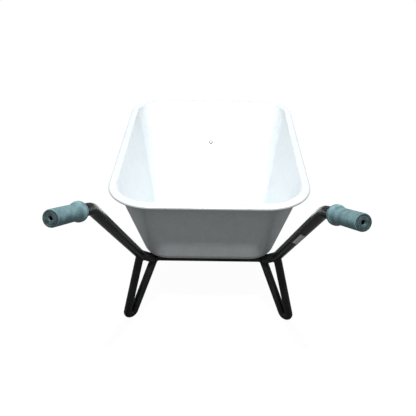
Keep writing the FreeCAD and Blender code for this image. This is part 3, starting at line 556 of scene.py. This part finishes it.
class WHEELBARROW_OT_grips(bpy.types.Operator):
    """Moulded grips with fine rings, a flared flange and a drain hole"""
    bl_idname = "wheelbarrow.grips"
    bl_label = "Grips"

    BARREL = 0.01915
    FLANGE = 0.0238
    BORE = 0.0151
    HOLE = 0.005
    END_WALL = 0.006
    RING_START = 0.008
    RING_PITCH = 0.0052
    RING_DEPTH = 0.00022
    PLAIN_END = 0.031
    MARK_FROM_MIDDLE = 0.0105
    # Depth from the end face that gets painted shade.
    SHADED_END_DEPTH = 0.0009
    GROOVE = (0.0052, 0.0039)

    def profile(self, length):
        """Half section from the wall of the hole over the outside and back along the bore."""
        line = [(self.END_WALL, self.HOLE), (0.0009, self.HOLE), (0.0002, self.HOLE + 0.0004),
                (0.0, self.HOLE + 0.0011), (0.0, 0.0128), (0.0004, 0.0134), (0.0004, 0.0141), (0.0, 0.0147),
                (0.0001, 0.0166), (0.0007, 0.0180), (0.0018, 0.0188), (0.0032, self.BARREL)]
        along = self.RING_START
        while along < length - self.PLAIN_END:
            line += [(along, self.BARREL), (along + 0.0004, self.BARREL - self.RING_DEPTH),
                     (along + 0.0010, self.BARREL - self.RING_DEPTH), (along + 0.0014, self.BARREL)]
            along += self.RING_PITCH
        flare = ((0.0270, self.BARREL), (0.0210, 0.01945), (0.0160, 0.0201), (0.0120, 0.0211),
                 (0.0090, 0.0223), (0.0072, 0.0234), (0.0064, self.FLANGE), (0.0052, self.FLANGE),
                 (0.0049, 0.0229), (0.0041, 0.0229), (0.0038, self.FLANGE), (0.0008, self.FLANGE),
                 (0.0, 0.0231), (0.0, self.BORE))
        line += [(length - back, radius) for back, radius in flare]
        return line + [(self.END_WALL, self.BORE), (self.END_WALL, self.HOLE)]

    def execute(self, context):
        material = grip_plastic(context.scene.wheelbarrow_look)
        # Painted shade for the end face and the flange groove.
        darkened = painted_shade_plastic(context.scene.wheelbarrow_look)
        for name in ("right_grip", "left_grip"):
            end, way, length = turned_axis(name)
            body = lathe(name + "_body", self.profile(length), end, way)
            across = (Vector((0, 0, 1)) - way * way.z).normalized()
            marks = []
            for side in (-1, 1):
                spot = end + across * (side * self.MARK_FROM_MIDDLE)
                marks.append(lathe(name + "_mark", [(0.0003, 0.0014), (-0.0001, 0.0012), (-0.0003, 0.0)],
                                   spot, way, 16))
            mesh = join_meshes(name + "_mesh", [body, *marks])
            piece = new_piece("moulded_" + name, mesh, material, "frame")
            mesh.materials.append(darkened)
            # Faces at the end and in the flange groove get the painted-shade material.
            for face in mesh.polygons:
                along = (face.center - end).dot(way)
                if along < self.SHADED_END_DEPTH or length - self.GROOVE[0] < along < length - self.GROOVE[1]:
                    face.material_index = 1
            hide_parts(name)
        return {"FINISHED"}


class WHEELBARROW_OT_welds(bpy.types.Operator):
    """Weld beads where the legs, brace and stay meet the rails"""
    bl_idname = "wheelbarrow.welds"
    bl_label = "Welds"

    SEAMS = (("right_leg", ("right_rail",)), ("left_leg", ("left_rail",)),
             ("cross_brace", ("right_rail", "left_rail", "right_leg", "left_leg")),
             ("front_stay", ("right_rail", "left_rail")))

    def execute(self, context):
        material = black_enamel(context.scene.wheelbarrow_look)
        for name, others in self.SEAMS:
            beads = [bead(name, ring, middle, WELD_RADIUS) for ring, middle in seams(name, others)]
            if not beads:
                self.report({"ERROR"}, "no seam found on " + name)
                return {"CANCELLED"}
            mesh = join_meshes(name + "_weld_mesh", beads)
            new_piece(name + "_welds", mesh, material, "frame")
        return {"FINISHED"}


class WHEELBARROW_OT_label(bpy.types.Operator):
    """Blank label on the right handle"""
    bl_idname = "wheelbarrow.label"
    bl_label = "Label"

    def execute(self, context):
        give(["handle_label"], label_paper(context.scene.wheelbarrow_look))
        return {"FINISHED"}


class WHEELBARROW_OT_fasteners(bpy.types.Operator):
    """Zinc plate on bolts, nuts, washers and the axle"""
    bl_idname = "wheelbarrow.fasteners"
    bl_label = "Fasteners"

    def execute(self, context):
        give(FASTENERS, zinc_plate())
        return {"FINISHED"}


class WHEELBARROW_OT_wheel(bpy.types.Operator):
    """Tyre, rim, hub and valve"""
    bl_idname = "wheelbarrow.wheel"
    bl_label = "Wheel"

    def execute(self, context):
        give(["tyre"], rubber("tyre_rubber", (0.018, 0.018, 0.018), 0.72))
        give(["inner_tube", "valve_stem"], rubber("tube_rubber", (0.02, 0.02, 0.02), 0.5))
        pressed_steel = sprayed_paint("rim_paint", (0.50, 0.51, 0.52), 0.35)
        give(["right_rim_half", "left_rim_half", "hub"], pressed_steel)
        give(["right_bush", "left_bush"], moulded("nylon", (0.62, 0.60, 0.54), 0.4))
        give(["valve_cap"], moulded("cap_plastic", (0.02, 0.02, 0.02), 0.35))
        return {"FINISHED"}


class WHEELBARROW_OT_stage(bpy.types.Operator):
    """Camera, floor, surroundings and lamps"""
    bl_idname = "wheelbarrow.stage"
    bl_label = "Stage"

    def execute(self, context):
        studio = context.scene.wheelbarrow_studio
        self.camera(context.scene, studio)
        self.floor(context.scene, studio)
        self.surroundings(context.scene, studio)
        self.lamps(context.scene, studio)
        context.scene.view_settings.view_transform = "Standard"
        return {"FINISHED"}

    def camera(self, scene, studio):
        data = bpy.data.cameras.new("camera")
        data.sensor_width = 36.0
        data.lens = studio.focal_length
        camera = bpy.data.objects.new("camera", data)
        scene.collection.objects.link(camera)
        pitch, yaw, roll = studio.camera_pitch, studio.camera_yaw, studio.camera_roll
        ahead = Vector((math.sin(yaw) * math.cos(pitch), math.cos(yaw) * math.cos(pitch), -math.sin(pitch)))
        right = Vector((math.cos(yaw), -math.sin(yaw), 0.0))
        up = right.cross(ahead)
        rolled_right = right * math.cos(roll) + up * math.sin(roll)
        rolled_up = up * math.cos(roll) - right * math.sin(roll)
        rim_rear = Vector((0.0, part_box("tray")[0].y, 0.0))
        place = rim_rear + Vector(studio.camera_place)
        turn = Matrix((rolled_right, rolled_up, -ahead)).transposed().to_4x4()
        camera.matrix_world = Matrix.Translation(place) @ turn
        scene.camera = camera

    def floor(self, scene, studio):
        mesh = bpy.data.meshes.new("floor")
        work = bmesh.new()
        bmesh.ops.create_circle(work, cap_ends=True, segments=96, radius=14.0)
        work.to_mesh(mesh)
        work.free()
        floor = bpy.data.objects.new("floor", mesh)
        scene.collection.objects.link(floor)
        mesh.materials.append(self.floor_material(studio))

    def floor_material(self, studio):
        """Nearly white to the eye with a soft shadow, and a dark grey to the object."""
        g = Graph("floor")
        seen = g.node("LightPath", {}, output="Is Camera Ray")
        pale = g.node("BsdfDiffuse", {}, Color=(0.9, 0.9, 0.9, 1.0))
        glow = g.node("Emission", {}, Color=(1.0, 1.0, 1.0, 1.0), Strength=1.0)
        eye = g.node("MixShader", {}, 0.965, pale, glow)
        shade = studio.floor_shade
        grey = g.node("BsdfDiffuse", {}, Color=(shade, shade, shade, 1.0))
        g.node_output(g.node("MixShader", {}, seen, grey, eye))
        return g.material

    def surroundings(self, scene, studio):
        """Bright above and dim at the horizon for the object, plain white behind it."""
        world = bpy.data.worlds.new("surroundings")
        scene.world = world
        world.use_nodes = True
        g = Graph.on(world.node_tree)
        direction = g.node("TexCoord", {}, output="Generated")
        height = g.node("Clamp", {}, g.node("SeparateXYZ", {}, direction, output="Z"), 0.0, 1.0)
        sideways = g.node("SeparateXYZ", {}, direction, output="X")
        level = studio.horizon_strength + studio.sky_strength * height ** 1.6
        level = level + studio.side_strength * (sideways * sideways) ** 2.0
        lit = g.node("Background", {}, (0.97, 0.985, 1.0, 1.0), level)
        white = g.node("Background", {}, (1.0, 1.0, 1.0, 1.0), 1.0)
        seen = g.node("LightPath", {}, output="Is Camera Ray")
        mix = g.node("MixShader", {}, seen, lit, white)
        output = g.tree.nodes.new("ShaderNodeOutputWorld")
        g.tree.links.new(mix.socket, output.inputs["Surface"])

    def lamps(self, scene, studio):
        key = bpy.data.lights.new("key", "SUN")
        key.energy = studio.key_strength
        key.angle = studio.key_spread
        lamp = bpy.data.objects.new("key", key)
        scene.collection.objects.link(lamp)
        towards = Vector((0.0, math.cos(studio.key_elevation), -math.sin(studio.key_elevation)))
        lamp.rotation_mode = "QUATERNION"
        lamp.rotation_quaternion = Vector((0, 0, -1)).rotation_difference(towards)


class WHEELBARROW_PT_panel(bpy.types.Panel):
    bl_label = "Wheelbarrow"
    bl_idname = "WHEELBARROW_PT_panel"
    bl_space_type = "VIEW_3D"
    bl_region_type = "UI"
    bl_category = "Wheelbarrow"

    def draw(self, context):
        for operator in OPERATORS:
            self.layout.operator(operator.bl_idname)


OPERATORS = [WHEELBARROW_OT_tray, WHEELBARROW_OT_tubes, WHEELBARROW_OT_welds, WHEELBARROW_OT_grips,
             WHEELBARROW_OT_label, WHEELBARROW_OT_fasteners, WHEELBARROW_OT_wheel, WHEELBARROW_OT_stage]
CLASSES = [WheelbarrowLook, WheelbarrowStudio, *OPERATORS, WHEELBARROW_PT_panel]


def register():
    for cls in CLASSES:
        bpy.utils.register_class(cls)
    bpy.types.Scene.wheelbarrow_look = PointerProperty(type=WheelbarrowLook)
    bpy.types.Scene.wheelbarrow_studio = PointerProperty(type=WheelbarrowStudio)


def unregister():
    del bpy.types.Scene.wheelbarrow_studio
    del bpy.types.Scene.wheelbarrow_look
    for cls in reversed(CLASSES):
        bpy.utils.unregister_class(cls)


def corners(box):
    return [[float(value) for value in corner] for corner in box]


def main():
    register()
    bpy.ops.wheelbarrow.tray()
    bpy.ops.wheelbarrow.tubes()
    bpy.ops.wheelbarrow.welds()
    bpy.ops.wheelbarrow.grips()
    bpy.ops.wheelbarrow.label()
    bpy.ops.wheelbarrow.fasteners()
    bpy.ops.wheelbarrow.wheel()
    bpy.ops.wheelbarrow.stage()


if __name__ == "__main__":
    main()
